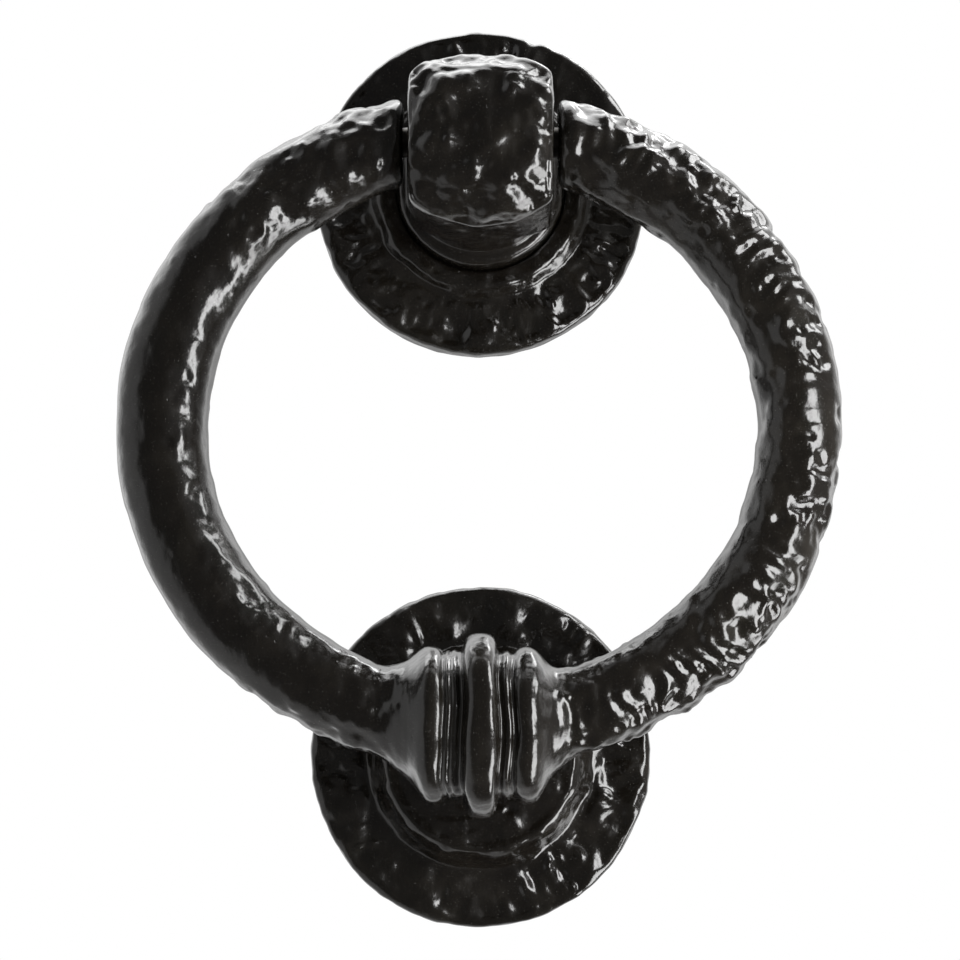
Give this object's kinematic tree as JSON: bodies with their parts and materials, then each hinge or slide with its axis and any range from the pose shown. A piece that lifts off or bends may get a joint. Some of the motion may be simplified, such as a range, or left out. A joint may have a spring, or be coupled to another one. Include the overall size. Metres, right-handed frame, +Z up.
{
  "type": "ring door knocker",
  "caption": "Hammered black iron ring knocker: an open ring swings on a block above and its beaded striker meets a raised round rose below.",
  "frame": {"origin": "on the door face, midway between the two fixing studs", "axes": "+Z up the door, +Y into the door and along the studs, -Y out towards the caller, +X to the right as the caller sees it"},
  "size_m": [0.12, 0.0995, 0.1574],
  "materials": {
    "black_iron": "gloss black paint over a hammered casting",
    "steel": "zinc plated"
  },
  "bodies": {
    "fixed_side": {"top_rose": "black_iron", "pivot_post": "black_iron", "strike_rose": "black_iron", "top_stud": "steel", "strike_stud": "steel", "top_washer": "steel", "strike_washer": "steel", "top_cap_nut": "steel", "strike_cap_nut": "steel"},
    "swinging_ring": {"knocker_ring": "black_iron", "left_pivot_pin": "steel", "right_pivot_pin": "steel"}
  },
  "joints": [
    {"name": "ring_swing", "type": "hinge", "parent": "fixed_side", "child": "swinging_ring", "pos_m": [0, -0.0267, 0.0525], "axis": [-1, 0, 0], "range_deg": [0, 185.7]}
  ]
}
